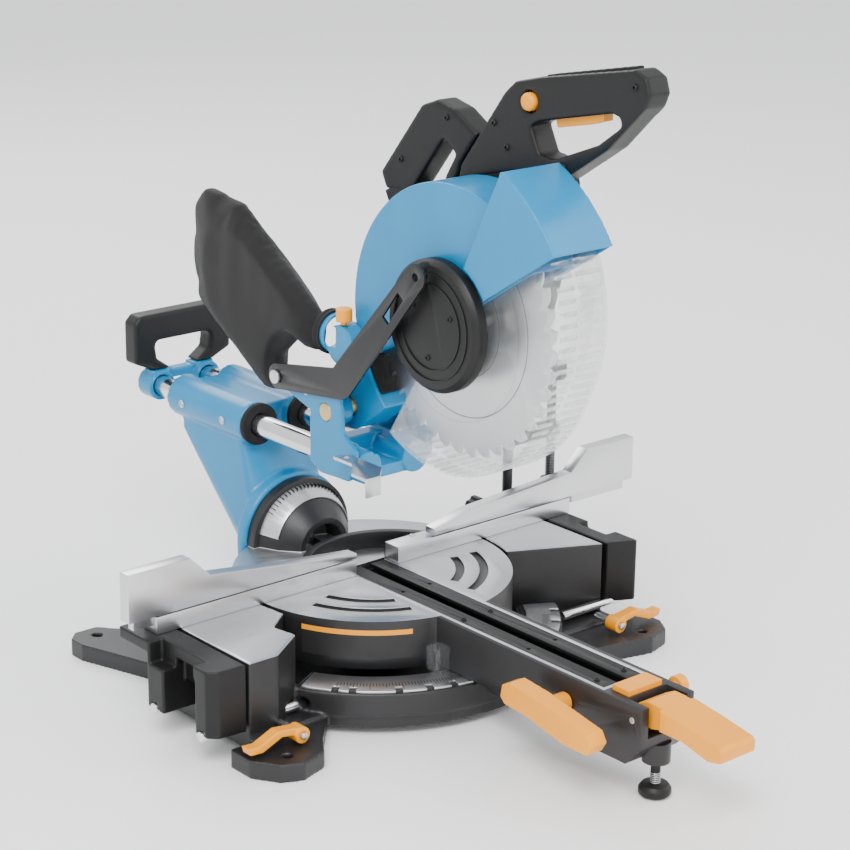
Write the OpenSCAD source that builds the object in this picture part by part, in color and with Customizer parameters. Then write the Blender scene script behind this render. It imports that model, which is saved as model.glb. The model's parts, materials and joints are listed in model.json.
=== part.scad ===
// Sliding compound mitre saw with a ten inch blade.
// Right is +X, the back is +Y, up is +Z. The origin is on the bench, straight below
// the point where the blade's cut line meets the front face of the fence.

/* [Base and table] */
// Height of the table above the bench
table_z = 96; // [94:1:98]
// Distance from the fence face back to the mitre axis
axis_y = 8; // [6:1:10]
// Radius of the turntable
turntable_r = 141; // [138:1:142]
// Radius of the ring that carries the mitre detents
ring_r = 192; // [188:1:194]
// Distance from the middle to each front bolt hole
foot_x = 229; // [225:1:233]
// Distance from the middle to each rear bolt hole
rear_foot_x = 210; // [205:1:215]
// Radius of the bench bolt holes
bolt_r = 5; // [4:0.5:6]

/* [Fence] */
// Top of the fixed fence above the bench
fence_low = 113.4; // [112:0.2:114]
// Top of the sliding fences above the bench
fence_high = 163; // [158:1:166]
// Half length of the fixed fence
fence_half = 266; // [260:1:270]
// How far a sliding fence travels
fence_travel = 64; // [50:1:64]

/* [Arm] */
// Half width of the front arm
arm_half = 33; // [31:1:34]
// Front end of the arm
arm_end = -402; // [-404:1:-400]

/* [Slide and head] */
// Height of the slide rails
rail_z = 216; // [214:1:218]
// Distance from the middle to each rail
rail_x = 30; // [29:1:31]
// Radius of the rails
rail_r = 11.5; // [11:0.5:12]
// Blade centre along the saw
blade_y = -122.5; // [-124:0.5:-121]
// Blade centre above the bench
blade_z = 378; // [376:1:380]
// Blade radius
blade_r = 127; // [125:1:127]
// Head pivot along the saw
pivot_y = 22; // [20:1:24]
// Head pivot above the bench
pivot_z = 266; // [264:1:268]

/* [Hidden] */
$fn = 64;
axis_gap = 0.3;
fence_t = 14;
hub_y = 128;
kerf_half = 28.4;
kerf_end = -350;
saw_blue = [0.24, 0.60, 0.78];
saw_orange = [0.94, 0.62, 0.14];
cast_black = [0.10, 0.10, 0.11];
machined = [0.76, 0.76, 0.78];
bright = [0.82, 0.82, 0.84];

// Cylinders along X and Y, from one end to the other
module xcyl(x0, x1, y, z, r) { translate([x0, y, z]) rotate([0, 90, 0]) cylinder(r = r, h = x1 - x0); }
module ycyl(y0, y1, x, z, r) { translate([x, y1, z]) rotate([90, 0, 0]) cylinder(r = r, h = y1 - y0); }
module box(lo, hi) { translate(lo) cube(hi - lo); }
// Side profile drawn as [y, z] and given a thickness along X
module side(x0, x1) { translate([x0, 0, 0]) rotate([90, 0, 90]) linear_extrude(x1 - x0) children(); }
// Front profile drawn as [x, z] and given a thickness along Y
module front(y0, y1) { translate([0, y1, 0]) rotate([90, 0, 0]) linear_extrude(y1 - y0) children(); }
module plan(z0, z1) { translate([0, 0, z0]) linear_extrude(z1 - z0) children(); }
// Sector of a circle, from angle a0 to a1 counted from +X
module sector(r, a0, a1) {
    n = 24;
    polygon(concat([[0, 0]], [for (i = [0:n]) let(a = a0 + (a1 - a0) * i / n) r * 1.1 * [cos(a), sin(a)]]));
}
module both() { children(); mirror([1, 0, 0]) children(); }

// ---------- base ----------
left_table = [[-239, 40], [-239, -107], [-206, -107], [-164, -79], [-169, -52], [-142, -31], [-146, 8], [-120, 40]];
right_table = [[230, 40], [230, -89], [134, -42], [146, 8], [120, 40]];
// Hollows under the table tops
left_hollow = [[-234, 35], [-234, -102], [-207, -102], [-171, -76], [-160, 35]];
right_hollow = [[225, 35], [225, -81], [160, -49], [155, 35]];
module table_block(pts, hollow) {
    difference() {
        plan(20, table_z) polygon(pts);
        translate([0, axis_y, 19]) cylinder(r = turntable_r + 4, h = 90);
        plan(10, table_z - 8) polygon(hollow);
    }
}
module foot(x, y, pts) {
    difference() {
        plan(0, 18) polygon(pts);
        translate([x, y, -1]) cylinder(r = bolt_r, h = 30);
    }
}
rod_left = [[-90, 30], [-16, 32]];
module base_casting() {
    color(cast_black) difference() {
        union() {
            table_block(left_table, left_hollow);
            table_block(right_table, right_hollow);
            foot(-foot_x, -150, [[-262, -108], [-262, -138], [-246, -163], [-226, -172], [-196, -163], [-180, -140], [-150, -108]]);
            foot(foot_x, -150, [[264, -108], [266, -140], [254, -160], [226, -168], [150, -150], [130, -108]]);
            foot(-rear_foot_x, 192, [[-236, 180], [-236, 200], [-224, 212], [-200, 212], [-110, 110], [-150, 60], [-196, 60]]);
            foot(rear_foot_x, 192, [[236, 180], [236, 200], [224, 212], [200, 212], [110, 110], [150, 60], [196, 60]]);
            // floor pan under the turntable and the side walls that carry the tables
            plan(8, 22) difference() {
                polygon([[-239, 40], [-239, -108], [230, -108], [230, 40], [150, 110], [-150, 110]]);
                translate([0, axis_y]) circle(r = 60);
            }
            // detent ring
            translate([0, axis_y, 20]) difference() {
                intersection() {
                    cylinder(r = ring_r, h = 24);
                    linear_extrude(24) sector(240, 208, 332);
                }
                translate([0, 0, -1]) cylinder(r = 150, h = 30);
            }
            intersection() {
                translate([0, axis_y, 8]) cylinder(r = ring_r - 3, h = 14);
                translate([0, axis_y, 0]) linear_extrude(40) sector(240, 205, 335);
            }
            // pivot boss with spokes to the pan
            translate([0, axis_y, 0]) cylinder(r = 34, h = 40);
            for (a = [0:45:315]) translate([0, axis_y, 0]) rotate(a) box([28, -5, 10], [66, 5, 19]);
        }
        translate([0, axis_y, 4]) cylinder(r = 8, h = 60);
        translate([clamp_x, clamp_y, 60]) cylinder(r = 5.55, h = 40);
        for (p = rod_left) {
            xcyl(-245, -120, p[0], p[1], 5.1);
            xcyl(120, 236, p[0], p[1], 5.1);
        }
    }
}
module detent_plate() {
    color(bright) translate([0, axis_y, 44]) linear_extrude(2.4) difference() {
        intersection() { circle(r = ring_r - 2); sector(240, 210, 330); }
        circle(r = 156);
        for (a = [-50, -45, -31.6, -22.5, -15, 0, 15, 22.5, 31.6, 45, 54])
            rotate(270 + a) translate([ring_r - 4, 0]) square([14, 7], center = true);
    }
}
module fence_fixed() {
    color(machined) difference() {
        union() {
            both() box([27, 0, table_z + 0.3], [fence_half, 22, fence_low]);
            // feet down to the tables
            both() box([150, 0.5, table_z], [fence_half - 40, 22, table_z + 1]);
            // arched bridge behind the cut
            intersection() {
                plan(table_z + 0.3, fence_low) translate([0, -25]) difference() { circle(r = 91); circle(r = 83); }
                box([-120, 10, 90], [120, 90, 120]);
            }
            both() box([60, 12, table_z + 0.3], [84, 34, 108]);
        }
        // slots for the guide bars of the sliding fences
        box([-fence_half - 1, 5, 104], [-100, 14, 120]);
        box([100, 5, 104], [fence_half + 1, 14, 120]);
    }
}
module lever_pins() {
    color(bright) both() ycyl(-146, -107, lever_x, lever_z, 3.5);
}
module pivot_bolt() {
    color(bright) translate([0, axis_y, 4.2]) {
        cylinder(r = 7.9, h = 52);
        translate([0, 0, 52]) cylinder(r = 11, h = 6, $fn = 6);
    }
}
module extension_plate(pts, cut) {
    difference() {
        union() {
            plan(table_z - 12, table_z) polygon(pts);
            intersection() {
                plan(30, table_z - 11) polygon(pts);
                union() { box([-290, -112, 20], [290, -80, 90]); box([-290, -30, 20], [290, -4, 90]); }
            }
            intersection() {
                plan(60, table_z - 11) polygon(pts);
                union() { box([-256, -100, 20], [-200, 30, 90]); box([200, -100, 20], [248, 30, 90]); }
            }
        }
        box(cut[0], cut[1]);
        for (p = rod_left) xcyl(-290, 290, p[0], p[1], 5);
    }
}
module extension_left() {
    color(cast_black) extension_plate([[-242.5, 42], [-242.5, -108], [-272, -106], [-281, -98], [-281, 42]],
        [[-283, -78, 74], [-266, -8, 100]]);
}
module extension_right() {
    color(cast_black) extension_plate([[233.5, 42], [233.5, -91], [262, -105], [266, -102], [266, 42]],
        [[252, -70, 89], [268, -30, 100]]);
}
module rods(s) {
    color(bright) for (p = rod_left)
        if (s < 0) xcyl(-283, -172, p[0], p[1], 5);
        else xcyl(172, 268, p[0], p[1], 5);
}
module rods_left() { rods(-1); }
module rods_right() { rods(1); }

// ---------- fences, clamps and levers on the base ----------
// Front profile of a sliding fence, outer end at x = 0, inner end at x = len
function fence_profile(len, tip, rise) = [[0, fence_low + 1.4], [len, fence_low + 1.4], [len, fence_low + tip],
    [len - rise[0], fence_low + rise[1]], [92.4, 141], [69.8, fence_high], [0, fence_high]];
module sliding_fence(len, tip, rise) {
    difference() {
        union() {
            front(0, fence_t) polygon(fence_profile(len, tip, rise));
            // guide bar running in the fixed fence
            box([8, 5.3, 104.3], [86, 13.7, fence_low + 2]);
        }
        // lightening recess in the back
        front(5, fence_t + 1) polygon([[7, 122], [len - 120, 122], [len - 120, 132], [88, 134], [66, 156], [7, 156]]);
    }
}
module fence_left() { color(machined) translate([-296.5, 0, 0]) sliding_fence(269.5, 6.5, [79, 15]); }
module fence_right() {
    color(machined) translate([360.3, 0, 0]) mirror([1, 0, 0]) sliding_fence(285.3, 8.5, [46, 18]);
}
module fence_knob() {
    ycyl(22.3, 44, 0, 0, 4);
    ycyl(32, 40, 0, 0, 9);
    rotate([-90, 0, 0]) translate([0, 0, 40]) difference() {
        cylinder(r = 12, h = 14);
        for (a = [0:60:300]) rotate(a) translate([13.5, 0, -1]) cylinder(r = 3.5, h = 20);
    }
}
knob_x = 175;
knob_z = 109.6;
module fence_knob_left() { color(cast_black) translate([-knob_x, 0, knob_z]) fence_knob(); }
module fence_knob_right() { color(cast_black) translate([knob_x, 0, knob_z]) fence_knob(); }

lever_x = 205;
lever_z = 28;
module foot_lever() {
    difference() {
        union() {
            ycyl(-143, -127, lever_x, lever_z, 8);
            front(-141, -129) polygon([[lever_x + 2, lever_z + 7.8], [lever_x + 26, lever_z + 11], [lever_x + 48, lever_z + 2],
                [lever_x + 60, lever_z + 3], [lever_x + 58, lever_z - 4], [lever_x + 44, lever_z - 5],
                [lever_x + 22, lever_z + 4], [lever_x, lever_z]]);
        }
        ycyl(-150, -120, lever_x, lever_z, 3.6);
    }
}
module foot_lever_left() { color(saw_orange) mirror([1, 0, 0]) foot_lever(); }
module foot_lever_right() { color(saw_orange) foot_lever(); }

clamp_x = 205;
clamp_y = 33;
clamp_reach = 62;
module clamp_arm() {
    color(cast_black) difference() {
        union() {
            translate([clamp_x, clamp_y, 62]) cylinder(r = 5.5, h = 117);
            plan(178, 190) for (x = [clamp_x, clamp_x + clamp_reach]) translate([x, clamp_y]) circle(r = 10);
            box([clamp_x, clamp_y - 10, 178], [clamp_x + clamp_reach, clamp_y + 10, 190]);
        }
        translate([clamp_x + clamp_reach, clamp_y, 170]) cylinder(r = 5.05, h = 30);
    }
}
module clamp_screw() {
    color(cast_black) translate([clamp_x + clamp_reach, clamp_y, 0]) {
        translate([0, 0, 128]) cylinder(r = 5, h = 112);
        translate([0, 0, 122]) cylinder(r = 10, h = 6);
        translate([0, 0, 240]) difference() {
            cylinder(r = 15, h = 16);
            for (a = [0:60:300]) rotate(a) translate([17.5, 0, -1]) cylinder(r = 5, h = 20);
        }
    }
}

// ---------- turntable ----------
module arc_slot(r, a0, a1) {
    intersection() {
        difference() { cylinder(r = r + 4.5, h = 4); translate([0, 0, -1]) cylinder(r = r - 4.5, h = 6); }
        linear_extrude(4) sector(r + 30, a0, a1);
    }
}
module turntable_casting() {
    color(cast_black) difference() {
        union() {
            // drum with the table top
            translate([0, axis_y, 47]) difference() {
                cylinder(r = turntable_r, h = table_z - 47);
                translate([0, 0, 8]) difference() { cylinder(r = turntable_r - 7, h = 31); cylinder(r = 30, h = 40); }
            }
            // front arm
            box([-arm_half, -190, 47], [arm_half, -100, table_z]);
            side(-arm_half, arm_half) polygon([[-188, 47], [-188, table_z], [arm_end, table_z], [arm_end, 58], [-384, 38], [-300, 38], [-200, 44], [-200, 47]]);
            // boss for the levelling screw
            translate([0, -390.5, 34]) cylinder(r = 13, h = 20);
            // neck under the fence bridge and the bell at the back
            box([-34, 100, 50], [34, 146, 88]);
            translate([0, 0, table_z]) rotate([-90, 0, 0]) rotate_extrude() polygon([[24, 112 - 26], [30, 112 - 26], [46, 104], [55, hub_y - 4],
                [62, hub_y - 4], [62, hub_y + 8], [8, hub_y + 8], [8, 118], [24, 112]]);
        }
        // pocket for the kerf plates and the slot for the blade
        box([-kerf_half, kerf_end, table_z - 8], [kerf_half, 24, table_z + 1]);
        box([-16, kerf_end + 6, 56], [16, 20, table_z]);
        translate([0, axis_y, 40]) cylinder(r = 8.1, h = 60);
        // flat at the back for the tilting column, and the bore for its shaft
        box([-90, hub_y + 8, 30], [90, 200, 200]);
        ycyl(90, 150, 0, table_z, 8);
        for (s = [[112, 200, 250], [88, 200, 245], [112, 290, 345], [88, 297, 342]])
            translate([0, axis_y, table_z - 3]) arc_slot(s[0], s[1], s[2]);
        // pocket for the detent release and the opening in the end of the arm for the lock handle
        box([-21.4, -374.4, 79], [21.4, -352.6, table_z + 1]);
        box([-24, arm_end - 1, 66], [24, -376, table_z + 1]);
        translate([0, -390.5, 20]) cylinder(r = 4.55, h = 60);
        xcyl(-arm_half - 1, arm_half + 1, -390, 82, 3.05);
    }
}
module kerf_frame() {
    color(machined) difference() {
        box([-kerf_half, kerf_end, table_z - 8], [kerf_half, 20, table_z]);
        box([-24.4, kerf_end + 4, table_z - 9], [24.4, 21, table_z + 1]);
    }
}
module kerf_plates() {
    color(cast_black) both() difference() {
        box([6.5, kerf_end + 4, table_z - 4], [24.4, 19, table_z - 0.5]);
        for (y = [-330, -240, -150, -60]) translate([17, y, table_z - 5]) cylinder(r = 2.2, h = 6);
    }
    color(cast_black) both() box([16.1, kerf_end + 4, table_z - 8], [24.4, 19, table_z - 4]);
}
module pointer_window() {
    color([0.85, 0.88, 0.9, 0.5]) difference() {
        box([-50, -150, 48], [-34.2, -134, 72]);
        box([-51, -147, 50], [-44, -137, 69]);
    }
}
module bevel_scale() {
    color(bright) translate([0, 0, table_z]) rotate([-90, 0, 0]) rotate(-165) rotate_extrude(angle = 150)
        polygon([[46.6, 104], [55.6, hub_y - 4], [57, hub_y - 4.2], [48, 103.8]]);
}
module bevel_shaft() {
    color(bright) {
        ycyl(112.5, 172, 0, table_z, 7.9);
        ycyl(172, 181, 0, table_z, 14);
    }
}
module mitre_handle() {
    color(saw_orange) difference() {
        union() {
            side(-18, 18) polygon([[-382, 74], [-382, 92], [-394, 98], [-410, 97], [-446, 92], [-482, 86], [-486, 82], [-485, 72], [-470, 69], [-440, 76], [-412, 76], [-398, 72]]);
            side(-22, 22) polygon([[-412, 76], [-412, 96.6], [-446, 92], [-482, 86], [-486, 82], [-485, 72], [-470, 69], [-440, 76]]);
        }
        xcyl(-30, 30, -390, 82, 3.1);
    }
}
module handle_pin() { color(bright) xcyl(-arm_half, arm_half, -390, 82, 3); }
module release_button() {
    color(saw_orange) {
        box([-21, -374, 90], [21, -353, 101]);
        box([-14, -372, 84], [14, -357, 90]);
    }
}
module bevel_lever() {
    color(saw_orange) {
        xcyl(-62, -arm_half - 0.4, -308, 72, 9);
        difference() {
            side(-76, -56) polygon([[-266, 74], [-268, 86], [-278, 91], [-310, 88], [-378, 76],
                [-384, 66], [-378, 56], [-350, 56], [-300, 66], [-272, 68]]);
            xcyl(-65, -40, -308, 72, 9);
        }
        xcyl(-62, -56, -308, 72, 9);
    }
}
module stop_knob() {
    color(saw_orange) {
        xcyl(arm_half + 0.4, 44, -368, 86, 4);
        xcyl(44, 54, -368, 86, 9);
    }
}
module levelling_foot() {
    color(cast_black) {
        translate([0, -390.5, 10]) cylinder(r = 4.5, h = 46);
        rotate_extrude_at(0, -390.5) polygon([[0, 0.4], [12, 0.4], [15, 3], [15, 8], [12, 12], [0, 12]]);
    }
}
module rotate_extrude_at(x, y) { translate([x, y, 0]) rotate_extrude() children(); }

// ---------- bevel arm and slide ----------
tube_r = 22.5;
bore_r = 16;
module bevel_arm() {
    color(saw_blue) difference() {
        union() {
            ycyl(hub_y + 8.4, hub_y + 22, 0, table_z, 66);
            hull() {
                ycyl(hub_y + 14, hub_y + 30, 0, table_z, 50, $fn = 32);
                box([-44, 172, 186], [44, 272, 206]);
            }
            both() ycyl(160, 290, -rail_x, rail_z, tube_r);
            box([-rail_x, 168, rail_z - 20], [rail_x, 284, rail_z + 16]);
        }
        both() ycyl(150, 300, -rail_x, rail_z, bore_r);
        ycyl(100, 172, 0, table_z, 8);
        ycyl(171.9, 300, 0, table_z, 16);
        xcyl(rail_x, rail_x + 30, 225, rail_z, 4.05);
    }
}
module slide_bushes() {
    color(bright) both() for (y = [166, 248]) difference() {
        ycyl(y, y + 34, -rail_x, rail_z, bore_r);
        ycyl(y - 1, y + 35, -rail_x, rail_z, rail_r + 0.05);
    }
}
module slide_seals() {
    color(cast_black) both() difference() {
        ycyl(154, 160, -rail_x, rail_z, tube_r - 0.5);
        ycyl(150, 170, -rail_x, rail_z, rail_r + 0.4);
    }
}
module rail_knob() {
    color(cast_black) {
        xcyl(rail_x + bore_r + 0.5, 66, 225, rail_z, 4);
        xcyl(66, 80, 225, rail_z, 13);
    }
}
module rails() { color(bright) both() ycyl(-8, 352, -rail_x, rail_z, rail_r); }
module front_bracket() {
    color(saw_blue) difference() {
        union() {
            both() {
                ycyl(-22, 44, -rail_x, rail_z, 16.5);
                // ear with ribs
                side(-50, -44) polygon([[46, 210], [46, 250], [44, 292], [10, 296], [0, 286], [-4, 250], [-24, 236], [-24, 216], [-14, 204], [30, 202]]);
                side(-44, -25.3) polygon([[46, 216], [46, 290], [40, 290], [40, 250], [28, 236], [-2, 234], [-2, 216]]);
                side(-50, -25.3) difference() { translate([pivot_y, pivot_z]) circle(r = 15); translate([pivot_y, pivot_z]) circle(r = 9); }
            }
            box([-26, 26, 202], [26, 44, 232]);
            box([-26, -20, 202], [26, 30, 214]);
            // rear lug that carries the guard link
            side(-50, -44) polygon([[44, 262], [44, 290], [88, 297], [102, 293], [102, 280], [90, 276]]);
        }
        both() ycyl(-8, 50, -rail_x, rail_z, rail_r);
        box([-24, -30, 228.5], [24, 26, 240]);
        // pockets around the pivot bosses
        both() side(-47, -26) difference() {
            polygon([[39, 252], [39, 284], [14, 288], [4, 280], [2, 252]]);
            translate([pivot_y, pivot_z]) circle(r = 15);
        }
        xcyl(-60, 60, pivot_y, pivot_z, 9);
        xcyl(-60, -40, link_y, link_z, 4);
    }
}
link_y = 95;
link_z = 286;
module rear_yoke() {
    color(saw_blue) difference() {
        union() {
            both() ycyl(330, 354, -rail_x, rail_z, 16.5);
            box([-rail_x, 336, rail_z + 4], [rail_x, 350, rail_z + 14]);
            both() box([-rail_x - 10, 334, rail_z + 12], [-rail_x + 16, 350, rail_z + 17]);
        }
        both() ycyl(329, 352, -rail_x, rail_z, rail_r);
    }
}
module rear_handle() {
    color(cast_black) difference() {
        front(332, 354) polygon([[-38, 233.2], [-62, 244], [-62, 288], [-54, 296], [54, 296], [62, 288], [62, 244], [38, 233.2], [14, 233.2], [14, 233.2]]);
        front(331, 355) polygon([[-16, 233], [-34, 246], [-36, 262], [-32, 266], [32, 266], [36, 262], [34, 246], [16, 233]]);
    }
}
module head_pin() {
    color([0.75, 0.6, 0.3]) {
        xcyl(-49.8, 50.4, pivot_y, pivot_z, 9);
        xcyl(50.4, 54, pivot_y, pivot_z, 11);
    }
}
module depth_plate() {
    color(bright) difference() {
        union() {
            plan(230, 233) polygon([[-66, -12], [-58, -12], [-50.3, -22], [-50.3, -66], [-66, -82], [-84, -82], [-84, -62], [-66, -40]]);
            box([-84, -84, 214], [-66, -82, 233]);
        }
        translate([-58, -22, 225]) cylinder(r = 3, h = 10);
    }
}

// ---------- head ----------
module at_blade(x0, x1) { translate([x0, blade_y, blade_z]) rotate([90, 0, 90]) linear_extrude(x1 - x0) children(); }
// Angles in the head are counted from the front, towards the top
module wedge(r, a0, a1) { mirror([1, 0]) sector(r, a0, a1); }
module ring2(r1, r0) { difference() { circle(r = r1); circle(r = r0); } }
shell_r = 135;
hood_r = 178;
module upper_guard() {
    color(saw_blue) {
        at_blade(-21, 34) intersection() { ring2(shell_r, shell_r - 3); wedge(150, 33, 205); }
        at_blade(-21, -18) intersection() { ring2(shell_r - 3, 26); wedge(150, 33, 205); }
        at_blade(31, 34) intersection() { ring2(shell_r - 3, 34); wedge(150, 33, 205); }
        at_blade(-30, 42) intersection() { ring2(hood_r, hood_r - 3); wedge(200, 33, 64); }
        at_blade(-30, -27.4) intersection() { ring2(hood_r - 3, 70); wedge(200, 33, 64); }
        at_blade(39.5, 42) intersection() { ring2(hood_r - 3, 96); wedge(200, 33, 64); }
        at_blade(34, 39.5) intersection() { ring2(122, 96); wedge(200, 33, 64); }
    }
}
module head_arm() {
    color(saw_blue) difference() {
        side(-18, 22) union() {
            translate([pivot_y, pivot_z]) circle(r = 23);
            polygon([[pivot_y - 16, pivot_z - 16.5], [-44, 286], [-20, 350], [16, 350], [24, 336], [pivot_y + 20, pivot_z + 10]]);
        }
        xcyl(-60, 60, pivot_y, pivot_z, 9.05);
        xcyl(-60, 60, blade_y, blade_z, shell_r);
    }
}
module gear_housing() {
    color(cast_black) {
        difference() {
            union() {
                side(43, 72) polygon([[46, 470], [30, 478], [-20, 476], [-56, 500], [-138, 522], [-197, 522], [-200, 494],
                    [-186, 450], [-166, 376], [-150, 352], [-135, 341], [-110, 341], [-90, 352], [-10, 400], [30, 440]]);
                xcyl(34.3, 43, blade_y, blade_z, 40);
            }
            xcyl(34, 60, blade_y, blade_z, 8.05);
            xcyl(66, 73, lock_y, lock_z, 7.3);
        }
    }
}
motor_y = -62;
motor_z = 436;
module motor_housing() {
    color(cast_black) difference() {
        xcyl(72, 128, motor_y, motor_z, 42);
        for (a = [0:20:340]) translate([70, motor_y, motor_z]) rotate([a, 0, 0]) box([22, -1.5, 40], [50, 1.5, 44]);
    }
}
module motor_cap() {
    color(cast_black) difference() {
        xcyl(128, 142, motor_y, motor_z, 40);
        for (z = [-24:8:24]) box([136, motor_y - 26, motor_z + z - 1.5], [143, motor_y + 26, motor_z + z + 1.5]);
    }
}
handle_x0 = 42.5;
handle_x1 = 70;
module main_handle() {
    color(cast_black) difference() {
        side(handle_x0, handle_x1) difference() {
            polygon([[-66, 514], [-92, 548], [-124, 590], [-138, 602], [-170, 610], [-288, 632], [-302, 626], [-307, 612], [-302, 600],
                [-258, 557], [-198, 518], [-138, 518], [-62, 497]]);
            polygon([[-160, 564], [-172, 570], [-262, 590], [-272, 588], [-274, 580], [-246, 560], [-190, 538], [-172, 540]]);
        }
        // pocket for the trigger and hole for the lock button
        box([49, -250, 566], [63, -180, 596]);
        xcyl(30, 56, -158, 586, 10);
    }
}
module carry_handle() {
    color(cast_black) side(handle_x0, handle_x1) polygon([[44, 472], [52, 488], [-8, 562], [-30, 570], [-56, 564],
        [-88, 545.5], [-64.5, 514], [-60, 499], [-40, 486], [-44, 500], [-58, 522], [-40, 534], [8, 474]]);
}
module dust_port() {
    color(saw_blue) {
        difference() {
            union() { xcyl(-40, -18, 12, 334, 20); ycyl(30, 46, -26, 340, 20); }
            ycyl(18, 47, -26, 340, 17);
            xcyl(-21.1, 0, blade_y, blade_z, shell_r);
        }
    }
}
module dust_chute() {
    color(cast_black) at_blade(-16, 16) intersection() { ring2(134, 130); wedge(150, 222, 205); }
}
module dust_bag() {
    color([0.08, 0.08, 0.08]) {
        side(-46, -6) polygon([[47, 322], [47, 358], [186, 444], [246, 450], [262, 430], [268, 372], [262, 330],
            [152, 252], [128, 252], [116, 290], [84, 318], [66, 316]]);
    }
}
module depth_screw() {
    color(saw_orange) translate([-35.6, 10, 0]) {
        translate([0, 0, 354.2]) cylinder(r = 3, h = 6);
        translate([0, 0, 358]) cylinder(r = 8, h = 13);
    }
}
module trigger() {
    color(saw_orange) side(50, 62) polygon([[-184, 577], [-246, 590], [-246, 580], [-230, 575], [-188, 566]]);
}
module lock_off() { color(saw_orange) xcyl(38.5, 52, -158, 586, 8.5); }
lock_y = -158;
lock_z = 412;
module spindle_lock() { color(cast_black) xcyl(70, 84, lock_y, lock_z, 7); }

// ---------- blade and guards ----------
teeth = 40;
module blade() {
    color(bright) difference() {
        at_blade(-0.9, 0.9) polygon([for (i = [0:teeth - 1]) let(a = i * 360 / teeth)
            each [blade_r * [cos(a), sin(a)], (blade_r - 1) * [cos(a + 3), sin(a + 3)],
                (blade_r - 4) * [cos(a + 5.2), sin(a + 5.2)], (blade_r - 10) * [cos(a + 7.5), sin(a + 7.5)]]]);
        xcyl(-5, 5, blade_y, blade_z, 8);
    }
}
module blade_flanges() {
    color(bright) {
        difference() { xcyl(0.9, 7, blade_y, blade_z, 24); xcyl(0, 9, blade_y, blade_z, 8); }
        difference() { xcyl(-7, -0.9, blade_y, blade_z, 24); xcyl(-9, 0, blade_y, blade_z, 8); }
    }
}
module arbor_bolt() {
    color(bright) {
        xcyl(-7, 58, blade_y, blade_z, 8);
        translate([-14, blade_y, blade_z]) rotate([0, 90, 0]) cylinder(r = 10, h = 7, $fn = 6);
    }
}
guard_r = 140;
module guard_outline(grow) {
    circle(r = guard_r + grow);
    translate([-2, 25]) circle(r = 148 + grow);
}
module lower_guard() {
    color([0.85, 0.9, 0.92, 0.35]) {
        at_blade(-26.6, 38) intersection() {
            difference() { guard_outline(0); guard_outline(-2.5); }
            wedge(200, -122, 47);
        }
        at_blade(-26.6, -24.2) intersection() {
            difference() { guard_outline(-2.5); circle(r = 32); }
            wedge(200, -122, 47);
        }
        at_blade(35.6, 38) intersection() {
            difference() { guard_outline(-2.5); circle(r = 124); }
            wedge(200, -122, 47);
        }
    }
}
pin_y = -114.5;
pin_z = 429;
module guard_hub() {
    color(cast_black) {
        difference() {
            translate([-41, blade_y, blade_z + 4]) rotate([0, 90, 0]) rotate_extrude() polygon([[0, 0], [58, 0], [63, 5], [63, 14.4], [60, 14.4], [60, 3], [0, 3]]);
            xcyl(-50, -30, pin_y, pin_z, 4);
        }
        difference() { xcyl(-41, -38, pin_y, pin_z, 13); xcyl(-50, -30, pin_y, pin_z, 4); xcyl(-50, -30, blade_y, blade_z + 4, 57.9); }
    }
}
module link_arm() {
    color(cast_black) difference() {
        side(-53, -50.3) union() {
            polygon([[link_y, link_z - 13], [link_y, link_z + 13], [6, 315], [pin_y + 9, pin_z + 9], [pin_y - 9, pin_z - 9], [-18, 292], [-6, 286]]);
            translate([link_y, link_z]) circle(r = 13);
            translate([pin_y, pin_z]) circle(r = 12.7);
        }
        xcyl(-60, -40, link_y, link_z, 4.1);
        xcyl(-60, -40, pin_y, pin_z, 4.1);
        side(-60, -40) polygon([[-76, 376], [-98, 404], [-90, 410], [-68, 382]]);
    }
}
module link_screws() {
    color(bright) {
        xcyl(-57, -44, link_y, link_z, 4);
        xcyl(-57, -53.2, link_y, link_z, 7);
    }
}

base_casting();
detent_plate();
fence_fixed();
lever_pins();
pivot_bolt();
extension_left();
extension_right();
rods_left();
rods_right();
fence_left();
fence_right();
fence_knob_left();
fence_knob_right();
foot_lever_left();
foot_lever_right();
clamp_arm();
clamp_screw();
turntable_casting();
kerf_frame();
kerf_plates();
pointer_window();
bevel_scale();
bevel_shaft();
mitre_handle();
handle_pin();
release_button();
bevel_lever();
stop_knob();
levelling_foot();
bevel_arm();
slide_bushes();
slide_seals();
rail_knob();
rails();
front_bracket();
rear_yoke();
rear_handle();
head_pin();
depth_plate();
upper_guard();
head_arm();
gear_housing();
motor_housing();
motor_cap();
main_handle();
carry_handle();
dust_port();
dust_chute();
dust_bag();
depth_screw();
trigger();
lock_off();
spindle_lock();
blade();
blade_flanges();
arbor_bolt();
lower_guard();
guard_hub();
link_arm();
link_screws();
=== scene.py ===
"""A sliding compound mitre saw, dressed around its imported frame.

Everything is in metres, in the frame's own axes: +X to the operator's right, +Y to the back, +Z up.
"""
import json
import math

import bmesh
import bpy
from mathutils import Matrix, Vector, noise


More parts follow.
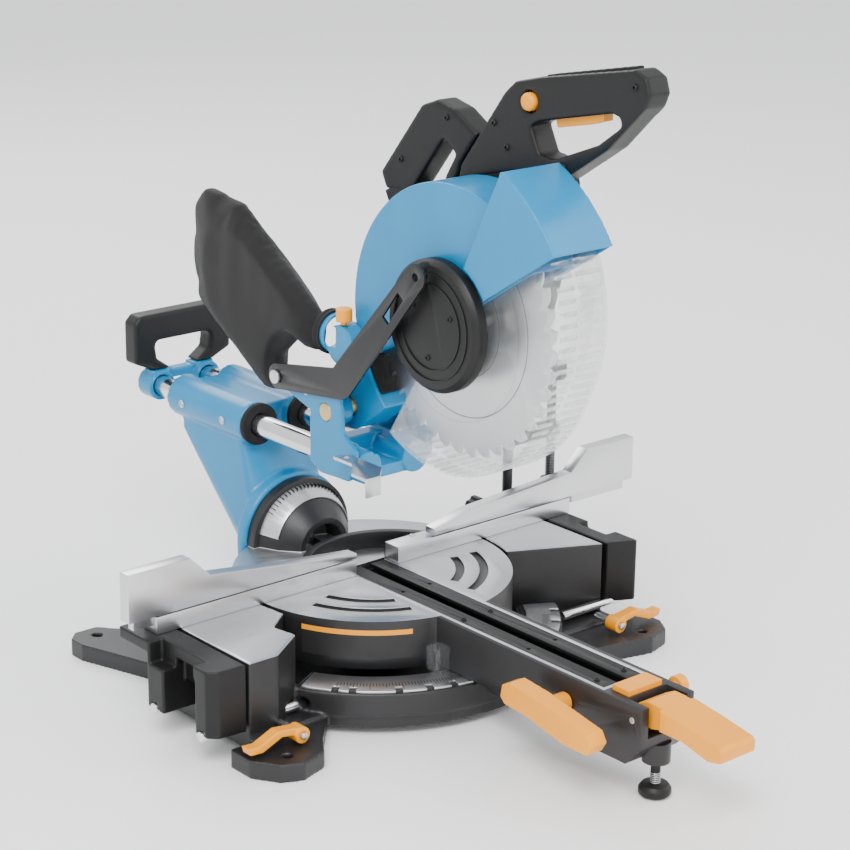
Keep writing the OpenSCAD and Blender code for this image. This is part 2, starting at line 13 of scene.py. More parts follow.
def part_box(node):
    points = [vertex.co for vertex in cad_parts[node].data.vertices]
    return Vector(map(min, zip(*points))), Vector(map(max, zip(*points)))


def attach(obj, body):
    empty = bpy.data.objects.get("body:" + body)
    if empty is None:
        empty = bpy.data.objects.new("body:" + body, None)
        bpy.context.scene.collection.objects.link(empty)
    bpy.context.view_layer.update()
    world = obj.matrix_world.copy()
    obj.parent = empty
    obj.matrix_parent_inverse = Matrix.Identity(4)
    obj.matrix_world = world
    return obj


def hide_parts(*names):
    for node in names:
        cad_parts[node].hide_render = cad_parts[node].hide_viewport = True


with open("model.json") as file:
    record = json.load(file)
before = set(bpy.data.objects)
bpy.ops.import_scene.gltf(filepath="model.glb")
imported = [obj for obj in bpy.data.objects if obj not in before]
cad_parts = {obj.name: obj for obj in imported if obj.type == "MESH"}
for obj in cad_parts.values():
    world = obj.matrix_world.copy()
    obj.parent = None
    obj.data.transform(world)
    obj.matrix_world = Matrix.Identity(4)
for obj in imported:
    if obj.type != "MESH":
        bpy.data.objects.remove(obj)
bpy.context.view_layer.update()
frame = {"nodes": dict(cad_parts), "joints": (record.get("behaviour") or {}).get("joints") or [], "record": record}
NODE = frame["nodes"]
MM = 0.001
BODY_OF = {n: b for b, members in frame["record"]["behaviour"]["bodies"].items() for n in members}
JOINT = {j["name"]: j for j in frame["joints"]}

TABLE_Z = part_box("kerf_frame")[1].z
BLADE = Vector(JOINT["blade_spin"]["pos_m"])
MITRE = Vector(JOINT["mitre_swing"]["pos_m"])
TILT = Vector(JOINT["bevel_tilt"]["pos_m"])
BLADE_R = (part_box("blade")[1].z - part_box("blade")[0].z) / 2
TEETH = 40
GROUND_SKIN = 0.0007
BASE_GROUND_BACK = 0.022
FENCE_GROUND_BACK = 0.0205
TURNTABLE_R = 0.1408
PATCH_R = 0.1413
MARK_R = 0.172
THREAD_PITCH = 0.0011
BAG_PUFF_LIMIT = 0.009
BAG_FOLD_DEPTH = 0.0032
CLOTH_STEPS = 18


# ---------- shader expressions ----------
class Tone:
    """A number that varies over a surface, and takes part in sums like a plain number."""

    def __init__(self, finish, socket):
        self.finish, self.socket = finish, socket

    def sum(self, operation, other, flip=False):
        pair = (other, self) if flip else (self, other)
        return self.finish.node("ShaderNodeMath", {"operation": operation}, dict(enumerate(pair)))

    def __add__(self, other):
        return self.sum("ADD", other)

    def __radd__(self, other):
        return self.sum("ADD", other, True)

    def __sub__(self, other):
        return self.sum("SUBTRACT", other)

    def __rsub__(self, other):
        return self.sum("SUBTRACT", other, True)

    def __mul__(self, other):
        return self.sum("MULTIPLY", other)

    def __rmul__(self, other):
        return self.sum("MULTIPLY", other, True)

    def __gt__(self, other):
        return self.sum("GREATER_THAN", other)

    def __lt__(self, other):
        return self.sum("LESS_THAN", other)

    def __pow__(self, other):
        return self.sum("POWER", other)


class Finish:
    """A named material: a Principled shader, and the nodes that its surface detail is worked out by."""

    def __init__(self, name, **settings):
        self.material = bpy.data.materials.new(name)
        self.material.use_nodes = True
        self.tree = self.material.node_tree
        self.shader = self.tree.nodes["Principled BSDF"]
        self.put(**settings)

    def node(self, kind, settings=None, inputs=None, out=0):
        made = self.tree.nodes.new(kind)
        for key, value in (settings or {}).items():
            setattr(made, key, value)
        for key, value in (inputs or {}).items():
            self.feed(made.inputs[key], value)
        return Tone(self, made.outputs[out])

    def feed(self, socket, value):
        if isinstance(value, Tone):
            self.tree.links.new(value.socket, socket)
        elif socket.type == "RGBA" and len(value) == 3:
            socket.default_value = (*value, 1)
        else:
            socket.default_value = value

    def put(self, **settings):
        """Shader sockets by name, with _ for a space."""
        for key, value in settings.items():
            self.feed(self.shader.inputs[key.replace("_", " ")], value)
        return self

    def place(self):
        return self.node("ShaderNodeTexCoord", out="Object")

    def axes(self):
        parts = self.tree.nodes.new("ShaderNodeSeparateXYZ")
        self.feed(parts.inputs[0], self.place())
        return [Tone(self, s) for s in parts.outputs]

    def stretched(self, scale):
        return self.node("ShaderNodeMapping", {"vector_type": "POINT"},
                         {"Vector": self.place(), "Scale": scale})

    def noise(self, scale, detail=3, stretch=None, roughness=0.55):
        vector = self.stretched(stretch) if stretch else self.place()
        return self.node("ShaderNodeTexNoise", None,
                         {"Vector": vector, "Scale": scale, "Detail": detail, "Roughness": roughness})

    def cells(self, scale):
        return self.node("ShaderNodeTexVoronoi", None, {"Vector": self.place(), "Scale": scale})

    def mix(self, factor, low, high):
        made = self.tree.nodes.new("ShaderNodeMix")
        made.data_type = "RGBA"
        for key, value in ((0, factor), (6, low), (7, high)):
            self.feed(made.inputs[key], value)
        return Tone(self, made.outputs[2])

    def relief(self, height, distance, strength=1.0):
        bump = self.node("ShaderNodeBump", None,
                         {"Height": height, "Distance": distance, "Strength": strength})
        return self.put(Normal=bump)


def moulded_black(name="moulded_black", tone=0.006, rough=0.44):
    """Glass-filled nylon: a fine leathery grain with faint handling marks."""
    skin = Finish(name, Specular_IOR_Level=0.3)
    marks = skin.noise(45, 4)
    skin.put(Base_Color=skin.mix(marks, (tone * 0.7,) * 3, (tone * 1.5, tone * 1.5, tone * 1.6)),
             Roughness=rough - 0.08 + marks * 0.18)
    return skin.relief(skin.cells(900) * 0.6 + skin.noise(2200, 2) * 0.4, 0.00025, 0.5)


def cast_enamel(name, dark, light, rough=0.34):
    """Sprayed enamel on a die casting, with orange peel."""
    skin = Finish(name, Specular_IOR_Level=0.35, Coat_Weight=0.15, Coat_Roughness=0.2)
    cloud = skin.noise(22, 3)
    skin.put(Base_Color=skin.mix(cloud, dark, light), Roughness=rough - 0.05 + skin.noise(160, 2) * 0.12)
    return skin.relief(skin.noise(620, 2) * 0.7 + skin.noise(70, 2) * 0.3, 0.0004, 0.32)


def bare_metal(name, tone, rough, stretch, scale=60, depth=0.0001):
    """Brushed or ground metal: streaks run along the axis with the smallest stretch."""
    skin = Finish(name, Metallic=1.0)
    streak = skin.noise(scale, 4, stretch, 0.7)
    stain = skin.noise(16, 3)
    low = tuple(c * 0.78 for c in tone)
    skin.put(Base_Color=skin.mix(stain * 0.5 + streak * 0.5, low, tone), Roughness=rough + streak * 0.16)
    return skin.relief(streak, depth, 0.4)


def table_top(name, inside_radius):
    """Black enamel, with the flat working top ground to bare metal."""
    skin = Finish(name, Specular_IOR_Level=0.5)
    x, y, z = skin.axes()
    top = (z > TABLE_Z - GROUND_SKIN) * (z < TABLE_Z + GROUND_SKIN)
    if inside_radius is None:
        top = top * (y < BASE_GROUND_BACK)
    else:
        off = y - MITRE.y
        top = top * ((x * x + off * off) < inside_radius * inside_radius)
    streak = skin.noise(40, 4, (1, 30, 30), 0.7)
    black = skin.mix(skin.noise(30, 3), (0.006, 0.006, 0.007), (0.014, 0.014, 0.015))
    metal = skin.mix(streak, (0.42, 0.43, 0.44), (0.66, 0.67, 0.68))
    skin.put(Base_Color=skin.mix(top, black, metal), Metallic=top * 0.95,
             Roughness=0.38 - top * 0.08 + streak * 0.12)
    return skin.relief(skin.noise(700, 2) * (1 - top) + streak * top * 0.3, 0.0003, 0.35)


def saw_plate():
    """Blade steel, ground in rings about the arbor."""
    skin = Finish("saw_plate", Metallic=1.0)
    x, y, z = skin.axes()
    across, up = y - BLADE.y, z - BLADE.z
    radius = (across * across + up * up) ** 0.5
    rings = skin.node("ShaderNodeTexNoise", {"noise_dimensions": "1D"}, {"W": radius * 2600, "Detail": 3.0})
    skin.put(Base_Color=skin.mix(rings, (0.50, 0.50, 0.51), (0.78, 0.78, 0.79)), Roughness=0.2 + rings * 0.2)
    return skin.relief(rings, 0.00008, 0.4)


def fence_casting():
    """Ground fence faces in front, black enamel on the bridge behind them."""
    skin = Finish("fence_casting", Specular_IOR_Level=0.35)
    x, y, z = skin.axes()
    front = y < FENCE_GROUND_BACK
    streak = skin.noise(60, 4, (1, 26, 26), 0.7)
    metal = skin.mix(streak, (0.56, 0.56, 0.58), (0.74, 0.74, 0.76))
    skin.put(Base_Color=skin.mix(front, (0.008, 0.008, 0.009), metal), Metallic=front * 1.0,
             Roughness=0.4 - front * 0.14 + streak * 0.12)
    return skin.relief(streak, 0.0001, 0.4)


def clear_guard(name="clear_guard", body=0.17):
    """Tinted clear polycarbonate with fine scuffs. A higher body opacity gives a whiter copy, used on the rim as a
    painted highlight.
    """
    skin = Finish(name, Base_Color=(0.93, 0.95, 0.96), IOR=1.45, Transmission_Weight=0.9)
    scuff = skin.noise(120, 5, (1, 1, 5))
    skin.put(Roughness=0.04 + scuff * 0.08, Alpha=body + scuff * 0.1)
    skin.relief(skin.noise(26, 2), 0.0008, 0.2)
    skin.material.surface_render_method = "BLENDED"
    return skin


def bag_cloth():
    """Black nylon in a plain weave, with patches of dust."""
    skin = Finish("bag_cloth", Specular_IOR_Level=0.3, Sheen_Weight=0.12, Sheen_Roughness=0.4)
    x, y, z = skin.axes()
    pitch = 2 * math.pi / THREAD_PITCH

    def thread(along):
        return skin.node("ShaderNodeMath", {"operation": "SINE"}, {0: along * pitch})

    weave = thread(y + z) * thread(y - z) * 0.5 + 0.5
    dust = skin.noise(30, 5)
    base = skin.mix(weave, (0.003, 0.003, 0.0035), (0.011, 0.011, 0.012))
    skin.put(Base_Color=skin.mix(dust * 0.14, base, (0.05, 0.046, 0.04)), Roughness=0.72 + dust * 0.2)
    return skin.relief(weave * 0.6 + skin.noise(60, 3) * 0.8, 0.0006, 0.55)


BLACK = moulded_black()
SATIN_BLACK = cast_enamel("satin_black", (0.007, 0.007, 0.008), (0.014, 0.014, 0.015), 0.36)
BLUE = cast_enamel("saw_blue", (0.003, 0.185, 0.40), (0.006, 0.225, 0.46), 0.3)
ORANGE = cast_enamel("saw_orange", (0.84, 0.29, 0.0), (0.92, 0.35, 0.001), 0.4)
FENCE_METAL = bare_metal("fence_metal", (0.74, 0.74, 0.76), 0.24, (1, 26, 26))
CHROME = bare_metal("chrome", (0.83, 0.83, 0.85), 0.08, (26, 1, 26), 30, 0.00004)
ZINC = bare_metal("zinc_plate", (0.70, 0.71, 0.73), 0.26, (8, 8, 8), 90)
BRASS = bare_metal("brass", (0.66, 0.50, 0.24), 0.26, (1, 10, 10))
RUBBER = moulded_black("soft_rubber", 0.008, 0.72)
CLEAR = clear_guard()
# A whiter, more opaque copy of the clear guard for its rim: painted highlight standing in for the bright light
# along the guard's edges.
PAINTED_HIGHLIGHT_RIM = clear_guard("guard_rim_painted_highlight", 0.42)
FENCE_CAST = fence_casting()
PLATE = saw_plate()
CLOTH = bag_cloth()
BASE_TOP = table_top("base_casting_finish", None)
TURN_TOP = table_top("turntable_finish", TURNTABLE_R)
DARK_INK = cast_enamel("dark_ink", (0.012, 0.012, 0.012), (0.02, 0.02, 0.02), 0.5)


# ---------- shaping ----------
def new_piece(name, mesh, finish, body):
    piece = bpy.data.objects.new(name, mesh)
    bpy.context.scene.collection.objects.link(piece)
    mesh.materials.clear()
    mesh.materials.append(finish.material)
    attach(piece, body)
    return piece


def piece_of(name, form, finish, body, smooth=30):
    """A piece from a bmesh."""
    mesh = bpy.data.meshes.new(name)
    bmesh.ops.recalc_face_normals(form, faces=form.faces)
    form.to_mesh(mesh)
    form.free()
    shade(mesh, smooth)
    return new_piece(name, mesh, finish, body)


def shade(mesh, angle):
    for face in mesh.polygons:
        face.use_smooth = True
    mesh.set_sharp_from_angle(angle=math.radians(angle))


def apply_modifiers(piece):
    graph = bpy.context.evaluated_depsgraph_get()
    graph.update()
    mesh = bpy.data.meshes.new_from_object(piece.evaluated_get(graph))
    piece.modifiers.clear()
    piece.data = mesh


def copy_of(node, suffix):
    form = bmesh.new()
    form.from_mesh(NODE[node].data)
    bmesh.ops.remove_doubles(form, verts=form.verts, dist=1e-6)
    bmesh.ops.dissolve_limit(form, angle_limit=math.radians(0.8), verts=form.verts, edges=form.edges)
    mesh = bpy.data.meshes.new(node + suffix)
    form.to_mesh(mesh)
    form.free()
    return mesh


def eased(node, finish, width=0.0006):
    """The CAD part with its sharp edges broken, as a machined or moulded part has them."""
    piece = new_piece(node + "_eased", copy_of(node, "_eased"), finish, BODY_OF[node])
    edge = piece.modifiers.new("edge", "BEVEL")
    edge.width, edge.segments, edge.limit_method = width, 2, "ANGLE"
    edge.angle_limit = math.radians(32)
    apply_modifiers(piece)
    shade(piece.data, 34)
    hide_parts(node)
    return piece


def softened(node, finish, voxel=0.0016, passes=4):
    """The CAD part with every corner and inside corner rounded, as a casting or a moulding has them."""
    piece = new_piece(node + "_cast", copy_of(node, "_cast"), finish, BODY_OF[node])
    skin = piece.modifiers.new("skin", "REMESH")
    skin.mode, skin.voxel_size, skin.use_smooth_shade = "VOXEL", voxel, True
    melt = piece.modifiers.new("melt", "SMOOTH")
    melt.factor, melt.iterations = 0.5, passes
    thin = piece.modifiers.new("thin", "DECIMATE")
    thin.decimate_type, thin.ratio = "COLLAPSE", 0.35
    apply_modifiers(piece)
    for face in piece.data.polygons:
        face.use_smooth = True
    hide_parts(node)
    return piece


def lathe(form, profile, centre, axis, steps=32):
    """Turns (radius, distance along the axis) points about an axis."""
    axis = Vector(axis).normalized()
    side = axis.orthogonal().normalized()
    other = axis.cross(side)
    rings = []
    for radius, along in profile:
        middle = Vector(centre) + axis * along
        if radius <= 0:
            rings.append([form.verts.new(middle)])
            continue
        turn = [2 * math.pi * i / steps for i in range(steps)]
        spokes = [side * math.cos(a) + other * math.sin(a) for a in turn]
        rings.append([form.verts.new(middle + spoke * radius) for spoke in spokes])
    for low, high in zip(rings, rings[1:]):
        for i in range(steps):
            j = (i + 1) % steps
            corners = [low[i % len(low)], low[j % len(low)], high[j % len(high)], high[i % len(high)]]
            face = list(dict.fromkeys(corners))
            if len(face) > 2:
                form.faces.new(face)


def block(form, low, high, turn=None):
    """A box between two corners, turned by a matrix when one is given."""
    low, high = Vector(low), Vector(high)
    spots = [Vector((x, y, z)) for x in (low.x, high.x) for y in (low.y, high.y) for z in (low.z, high.z)]
    verts = [form.verts.new(turn @ s if turn else s) for s in spots]
    for face in ((0, 1, 3, 2), (4, 6, 7, 5), (0, 4, 5, 1), (2, 3, 7, 6), (0, 2, 6, 4), (1, 5, 7, 3)):
        form.faces.new([verts[i] for i in face])


def about(point, axis, degrees):
    """A turn about a line through a point."""
    turn = Matrix.Rotation(math.radians(degrees), 4, axis)
    return Matrix.Translation(point) @ turn @ Matrix.Translation(-Vector(point))


def screw(form, centre, axis, radius):
    """A button-head socket screw: washer face, domed head and a six-sided socket."""
    r = radius
    lathe(form, [(0, 0), (r * 1.35, 0), (r * 1.35, r * 0.12), (r, r * 0.14), (r * 0.98, r * 0.42),
                 (r * 0.8, r * 0.62), (r * 0.5, r * 0.68)], centre, axis, 24)
    lathe(form, [(r * 0.5, r * 0.68), (r * 0.48, r * 0.3), (0, r * 0.26)], centre, axis, 6)


def screws(name, body, spots, finish=ZINC):
    form = bmesh.new()
    for centre, axis, radius in spots:
        screw(form, [c * MM for c in centre], axis, radius * MM)
    return piece_of(name, form, finish, body, 40)


# ---------- camera, light and floor ----------
def studio():
    azimuth, elevation, roll = math.radians(-40.797), math.radians(17.904), math.radians(0.753)
    level = math.cos(elevation)
    back = Vector((math.sin(azimuth) * level, -math.cos(azimuth) * level, math.sin(elevation)))
    flat_right = (-back).cross(Vector((0, 0, 1))).normalized()
    flat_up = flat_right.cross(-back)
    right = flat_right * math.cos(roll) + flat_up * math.sin(roll)
    up = flat_up * math.cos(roll) - flat_right * math.sin(roll)
    lens = bpy.data.cameras.new("camera")
    lens.lens, lens.sensor_width = 98.99, 36
    camera = bpy.data.objects.new("camera", lens)
    facing = Matrix((right, up, back)).transposed().to_4x4()
    camera.matrix_world = Matrix.Translation((-1.3928, -1.6835, 0.9549)) @ facing
    bpy.context.scene.collection.objects.link(camera)
    bpy.context.scene.camera = camera
    lights = (("key", (-1.6, -1.4, 2.6), 1.4, 95), ("fill", (2.2, -1.6, 1.6), 2.2, 30),
              ("rim", (0.6, 2.4, 2.2), 1.6, 44), ("front", (-0.6, -2.8, 0.9), 1.6, 16))
    for name, place, size, power in lights:
        light = bpy.data.lights.new(name, "AREA")
        light.energy, light.size = power, size
        lamp = bpy.data.objects.new(name, light)
        lamp.location = place
        lamp.rotation_euler = (Vector((0, 0, 0.25)) - Vector(place)).to_track_quat("-Z", "Y").to_euler()
        bpy.context.scene.collection.objects.link(lamp)
    world = bpy.data.worlds.new("studio")
    world.use_nodes = True
    world.node_tree.nodes["Background"].inputs[0].default_value = (0.98, 0.99, 1.0, 1)
    world.node_tree.nodes["Background"].inputs[1].default_value = 1.35
    bpy.context.scene.world = world
    form = bmesh.new()
    bmesh.ops.create_grid(form, x_segments=1, y_segments=1, size=40)
    mesh = bpy.data.meshes.new("floor")
    form.to_mesh(mesh)
    form.free()
    floor = bpy.data.objects.new("floor", mesh)
    bpy.context.scene.collection.objects.link(floor)
    paper = Finish("floor_paper", Roughness=0.6)
    paper.put(Base_Color=paper.mix(paper.noise(3, 2), (0.93, 0.93, 0.93), (0.95, 0.95, 0.95)))
    mesh.materials.append(paper.material)


# ---------- the CAD parts, finished ----------
def finish_frame():
    castings = {
        "base_casting": (BASE_TOP, 0.0018, 2), "bevel_arm": (BLUE, 0.002, 6),
        "front_bracket": (BLUE, 0.0012, 3), "rear_yoke": (BLUE, 0.0012, 4),
        "upper_guard": (BLUE, 0.0012, 3), "head_arm": (BLUE, 0.0015, 5), "dust_port": (BLUE, 0.0009, 2),
        "gear_housing": (BLACK, 0.0013, 6), "main_handle": (BLACK, 0.0014, 18),
        "carry_handle": (BLACK, 0.0015, 26), "rear_handle": (BLACK, 0.0014, 20),
        "extension_left": (BLACK, 0.0014, 3), "extension_right": (BLACK, 0.0014, 3),
        "mitre_handle": (ORANGE, 0.0009, 6), "bevel_lever": (ORANGE, 0.0009, 6),
        "foot_lever_left": (ORANGE, 0.0007, 5), "foot_lever_right": (ORANGE, 0.0007, 5),
        "trigger": (ORANGE, 0.0006, 4), "release_button": (ORANGE, 0.0007, 4),
        "clamp_arm": (SATIN_BLACK, 0.001, 3), "fence_knob_left": (BLACK, 0.0007, 4),
        "fence_knob_right": (BLACK, 0.0007, 4),
    }
    for node, (finish, voxel, passes) in castings.items():
        softened(node, finish, voxel, passes)
    machined = {
        "turntable_casting": (TURN_TOP, 0.0007), "fence_fixed": (FENCE_CAST, 0.0007),
        "fence_left": (FENCE_METAL, 0.0009), "fence_right": (FENCE_METAL, 0.0009),
        "kerf_frame": (FENCE_METAL, 0.0005), "kerf_plates": (BLACK, 0.0004), "detent_plate": (ZINC, 0.0004),
        "lever_pins": (ZINC, 0.0004), "pivot_bolt": (ZINC, 0.0005), "rods_left": (CHROME, 0.0006),
        "rods_right": (CHROME, 0.0006), "clamp_screw": (SATIN_BLACK, 0.0008),
        "pointer_window": (CLEAR, 0.0006),
        "bevel_scale": (ZINC, 0.0002), "bevel_shaft": (ZINC, 0.0006), "handle_pin": (ZINC, 0.0004),
        "stop_knob": (ORANGE, 0.0008), "levelling_foot": (BLACK, 0.0006), "slide_bushes": (BRASS, 0.0003),
        "slide_seals": (RUBBER, 0.0008), "rail_knob": (BLACK, 0.001), "rails": (CHROME, 0.0008),
        "head_pin": (BRASS, 0.0008), "depth_plate": (ZINC, 0.0004), "motor_housing": (BLACK, 0.0008),
        "motor_cap": (BLACK, 0.0012), "dust_chute": (RUBBER, 0.0006), "depth_screw": (ORANGE, 0.0009),
        "lock_off": (ORANGE, 0.003), "spindle_lock": (BLACK, 0.0024), "blade": (PLATE, 0.0001),
        "blade_flanges": (ZINC, 0.0006), "arbor_bolt": (ZINC, 0.0005), "lower_guard": (CLEAR, 0.0006),
        "guard_hub": (BLACK, 0.0012), "link_arm": (SATIN_BLACK, 0.0006), "link_screws": (ZINC, 0.0006),
    }
    for node, (finish, width) in machined.items():
        eased(node, finish, width)


def tooth_tips():
    """Brazed carbide tips on every tooth."""
    form = bmesh.new()
    for i in range(TEETH):
        turn = about(BLADE, "X", -360 / TEETH * i)
        spot = BLADE + Vector((0, BLADE_R - 0.0034, 0.0))
        block(form, spot + Vector((-0.0013, -0.004, -0.0003)), spot + Vector((0.0013, 0.0032, 0.0016)), turn)
    piece_of("tooth_tips", form, ZINC, "blade_set")


def blade_rings():
    """Two printed rings, standing a hair proud of the plate."""
    form = bmesh.new()
    for side in (-1, 1):
        for radius, wide in ((0.088, 0.0012), (0.050, 0.0008)):
            face = side * 0.00092
            proud = face + side * 0.00008
            outline = [(radius, face), (radius, proud), (radius + wide, proud), (radius + wide, face)]
            lathe(form, outline + outline[:1], BLADE, (1, 0, 0), 96)
    piece_of("blade_rings", form, DARK_INK, "blade_set")


def guard_reach(angle):
    """Outside of the clear guard, from the arbor, at an angle from the front towards the top."""
    reach = 0.140
    back, up, round_ = 0.002, 0.025, 0.148
    bearing, away = math.atan2(up, back), math.hypot(back, up)
    off = angle - bearing
    return max(reach, away * math.cos(off) + math.sqrt(round_ ** 2 - (away * math.sin(off)) ** 2))


def guard_ribs():
    """Moulded ribs across the rim of the clear guard."""
    form = bmesh.new()
    low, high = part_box("lower_guard")
    for degrees in range(-112, 45, 4):
        angle = math.radians(degrees)
        reach = guard_reach(angle)
        spot = BLADE + Vector((0, -math.cos(angle) * reach, math.sin(angle) * reach))
        turn = Matrix.Translation(spot) @ Matrix.Rotation(-angle, 4, "X")
        for left, right in ((low.x + 0.006, -0.001), (0.005, high.x - 0.006)):
            block(form, (left, -0.001, -0.0022), (right, 0.0006, 0.0022), turn)
    # The ribs take the whiter rim finish, a painted highlight along the guard's edge.
    ribs = piece_of("guard_ribs", form, PAINTED_HIGHLIGHT_RIM, "blade_guard")
    edge = ribs.modifiers.new("edge", "BEVEL")
    edge.width, edge.segments = 0.0004, 2
    apply_modifiers(ribs)
    shade(ribs.data, 34)


def hub_details():
    """Steps and fixing screws on the black cover over the arbor."""
    form = bmesh.new()
    centre = BLADE + Vector((0, 0, 0.004))
    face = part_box("guard_hub")[0].x
    for radius in (0.050, 0.040):
        outline = [(radius, 0.0002), (radius, -0.0012), (radius + 0.0014, -0.0012), (radius + 0.0014, 0.0002)]
        lathe(form, outline + outline[:1], (face, centre.y, centre.z), (1, 0, 0), 96)
    piece_of("hub_steps", form, BLACK, "blade_guard")
    screws("hub_screws", "blade_guard",
           [((face / MM, centre.y / MM + 30 * math.cos(a), centre.z / MM + 30 * math.sin(a)), (-1, 0, 0), 2.6)
            for a in (0.6, 2.7, 4.8)], BLACK)


def mitre_marks():
    """Degree marks on the detent plate, longer at every fifth and every tenth."""
    form = bmesh.new()
    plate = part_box("detent_plate")[1].z
    for degree in range(-50, 51):
        turn = about(MITRE, "Z", degree)
        long = 0.014 if degree % 10 == 0 else 0.010 if degree % 5 == 0 else 0.006
        start = MITRE.y - MARK_R
        block(form, (-0.0003, start - long, plate - 0.0001), (0.0003, start, plate + 0.00012), turn)
    piece_of("mitre_marks", form, DARK_INK, "base")


def bevel_marks():
    """Degree marks on the scale around the bevel bell."""
    form = bmesh.new()
    for degree in range(-50, 51, 5):
        turn = about(TILT, "Y", degree)
        block(form, (-0.0003, TILT.y - 0.0105, TILT.z + 0.0525),
              (0.0003, TILT.y - 0.0045, TILT.z + 0.0572), turn)
    piece_of("bevel_marks", form, DARK_INK, "turntable")


def skirt_label():
    """A plain two-tone plate on the skirt of the turntable, with no lettering."""
    def corner(angle, radius, z):
        return MITRE + Vector((math.cos(angle) * radius, math.sin(angle) * radius, z - MITRE.z))

    bands = (("skirt_label_body", 0.058, 0.082, DARK_INK), ("skirt_label_band", 0.082, 0.087, ORANGE))
    for name, low, high, finish in bands:
        form = bmesh.new()
        columns = []
        for i in range(25):
            a = math.radians(-158 + 1.85 * i)
            outline = ((PATCH_R, low), (PATCH_R, high), (TURNTABLE_R, high), (TURNTABLE_R, low))
            columns.append([form.verts.new(corner(a, radius, z)) for radius, z in outline])
        for left, right in zip(columns, columns[1:]):
            for i in range(4):
                j = (i + 1) % 4
                form.faces.new((left[i], left[j], right[j], right[i]))
        form.faces.new(columns[0])
        form.faces.new(columns[-1])
        piece_of(name, form, finish, "turntable")


def threads(name, body, shank, radius, low, high, pitch=0.0018):
    """Ridges of a screw thread, as close rings up the middle of a shank."""
    form = bmesh.new()
    centre = (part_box(shank)[0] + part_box(shank)[1]) / 2
    count = int((high - low) / pitch)
    profile = [(radius * 0.9, low)]
    for i in range(count):
        z = low + pitch * i
        for wide, part in ((0.99, 0.25), (1.06, 0.5), (0.99, 0.75)):
            profile.append((radius * wide, z + pitch * part))
    profile.append((radius * 0.9, high))
    lathe(form, profile, (centre.x, centre.y, 0), (0, 0, 1), 32)
    piece_of(name, form, ZINC, body, 60)


def dust_bag():
    """A slack cloth bag: its solid thinned, puffed up as cloth within a limit, and creased."""
    low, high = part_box("dust_bag")
    middle = (low.x + high.x) / 2
    mesh = copy_of("dust_bag", "_cloth")
    for v in mesh.vertices:
        v.co.x = middle + (v.co.x - middle) * 0.42
        v.co.y = v.co.y + (0.002 if v.co.y < 0.06 else 0)
    bag = new_piece("dust_bag_cloth", mesh, CLOTH, "head")
    skin = bag.modifiers.new("skin", "REMESH")
    skin.mode, skin.voxel_size = "VOXEL", 0.0052
    melt = bag.modifiers.new("melt", "SMOOTH")
    melt.factor, melt.iterations = 0.5, 3
    apply_modifiers(bag)
    start = [v.co.copy() for v in bag.data.vertices]
    crease = Vector((3.1, 7.7, 1.9))
    cloth = bag.modifiers.new("cloth", "CLOTH")
    cloth.settings.use_pressure = True
    cloth.settings.uniform_pressure_force = 3.2
    cloth.settings.effector_weights.gravity = 0
    cloth.settings.quality = 6
    cloth.point_cache.frame_start, cloth.point_cache.frame_end = 1, CLOTH_STEPS
    scene = bpy.context.scene
    for step in range(1, CLOTH_STEPS + 1):
        scene.frame_set(step)
    apply_modifiers(bag)
    scene.frame_set(1)
    for i, v in enumerate(bag.data.vertices):
        move = v.co - start[i] if i < len(start) else Vector()
        if move.length > BAG_PUFF_LIMIT:
            v.co = start[i] + move.normalized() * BAG_PUFF_LIMIT
        fold = noise.noise(Vector((v.co.y * 9, v.co.z * 22, 0)) + crease) * 0.6
        fold += noise.noise(Vector((v.co.y * 34, v.co.z * 12, 2)) + crease) * 0.4
        v.co.x += math.copysign(BAG_FOLD_DEPTH, v.co.x - middle) * fold
        v.co.x = min(max(v.co.x, low.x + 0.001), high.x - 0.001)
        v.co.y = min(max(v.co.y, low.y), high.y)
        v.co.z = min(max(v.co.z, low.z), high.z)
    round_off = bag.modifiers.new("round", "SUBSURF")
    round_off.levels = round_off.render_levels = 1
    apply_modifiers(bag)
    for face in bag.data.polygons:
        face.use_smooth = True
    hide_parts("dust_bag")


def bag_cuff():
    """Elastic cuff of the bag around the dust port."""
    form = bmesh.new()
    port_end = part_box("dust_port")[1].y
    x, z = -0.026, 0.340
    lathe(form, [(0.0205, 0.0), (0.0222, 0.0005), (0.0226, 0.003), (0.0214, 0.0045), (0.0226, 0.006),
                 (0.0222, 0.0095), (0.0205, 0.010), (0.0205, 0.0)], (x, port_end - 0.011, z), (0, 1, 0), 40)
    piece_of("bag_cuff", form, RUBBER, "head", 50)


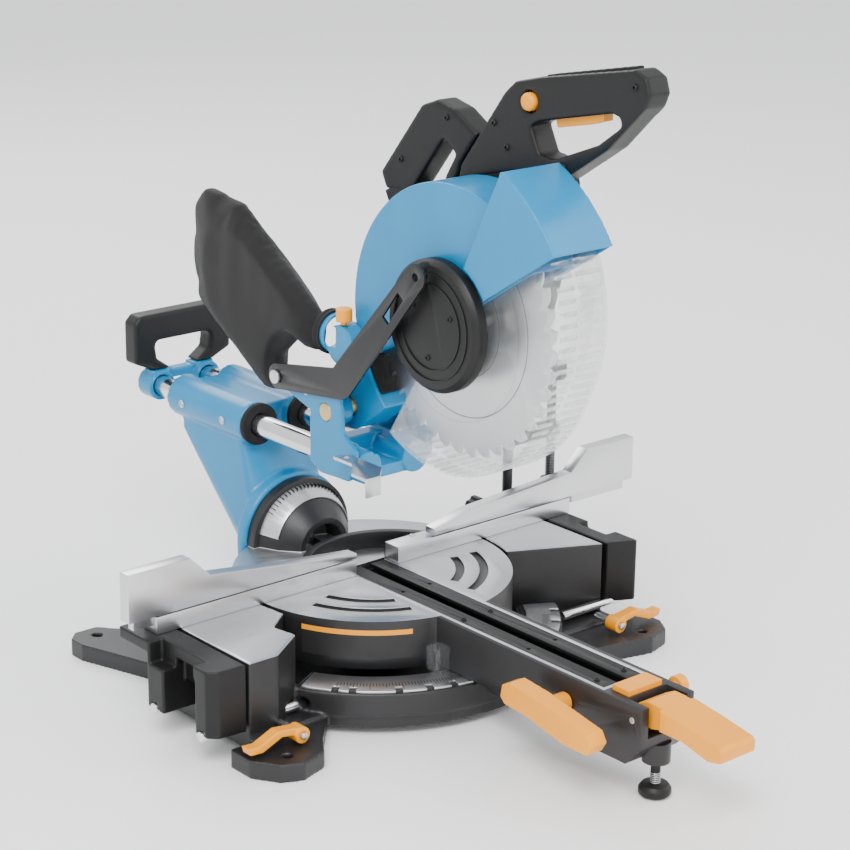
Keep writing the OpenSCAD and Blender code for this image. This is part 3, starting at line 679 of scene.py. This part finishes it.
def grip_pads():
    """Soft ribs across the upper bar of the main handle."""
    form = bmesh.new()
    low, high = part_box("main_handle")
    for i in range(11):
        t = i / 10
        y, z = -0.178 - 0.098 * t, 0.6085 + 0.0195 * t
        block(form, (low.x + 0.004, y - 0.0018, z), (high.x - 0.004, y + 0.0018, z + 0.0042))
    pad = piece_of("grip_ribs", form, RUBBER, "head")
    edge = pad.modifiers.new("edge", "BEVEL")
    edge.width, edge.segments = 0.0012, 2
    apply_modifiers(pad)
    shade(pad.data, 40)


def fixings():
    """Screws that hold the housings, handles, plates and fences."""
    handle_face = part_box("main_handle")[0].x / MM
    handle_spots = ((-112, 560), (-130, 540), (-290, 617), (-205, 534), (-46, 555), (20, 505))
    screws("handle_screws", "head", [((handle_face + 0.2, y, z), (-1, 0, 0), 3.0) for y, z in handle_spots],
           BLACK)
    gear_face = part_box("gear_housing")[1].x / MM
    gear_spots = ((-186, 510), (-60, 486), (18, 462), (-135, 352), (-178, 440), (-20, 410))
    screws("gear_screws", "head", [((gear_face, y, z), (1, 0, 0), 3.0) for y, z in gear_spots],
           BLACK)
    cap_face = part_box("motor_cap")[1].x / MM
    cap_spots = [(-62 + 33 * math.cos(a), 436 + 33 * math.sin(a)) for a in (0.8, 2.4, 3.9, 5.5)]
    screws("motor_screws", "head", [((cap_face - 0.4, y, z), (1, 0, 0), 2.4) for y, z in cap_spots])
    screws("kerf_screws", "turntable", [((s * 17, y, TABLE_Z / MM - 0.6), (0, 0, 1), 2.4)
                                        for s in (-1, 1) for y in (-330, -150)], BLACK)
    screws("fence_screws", "base", [((s * x, 17.5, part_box("fence_fixed")[1].z / MM), (0, 0, 1), 2.6)
                                    for s in (-1, 1) for x in (60, 240)])
    bracket = ((-46.6, 12, 216, 3.4), (-50.1, 30, 284, 2.6), (-50.1, 52, 280, 2.6))
    screws("bracket_screws", "carriage", [((x, y, z), (-1, 0, 0), radius) for x, y, z, radius in bracket])
    screws("column_screws", "bevel_column", [((-52.6, y, 216), (-1, 0, 0), 3.2) for y in (190, 262)])


studio()
finish_frame()
tooth_tips()
blade_rings()
guard_ribs()
hub_details()
mitre_marks()
bevel_marks()
skirt_label()
threads("foot_thread", "front_foot", "levelling_foot", 0.0045, 0.0125, 0.0235)
threads("clamp_thread", "hold_down_screw", "clamp_screw", 0.0048, 0.130, 0.176)
dust_bag()
bag_cuff()
grip_pads()
fixings()
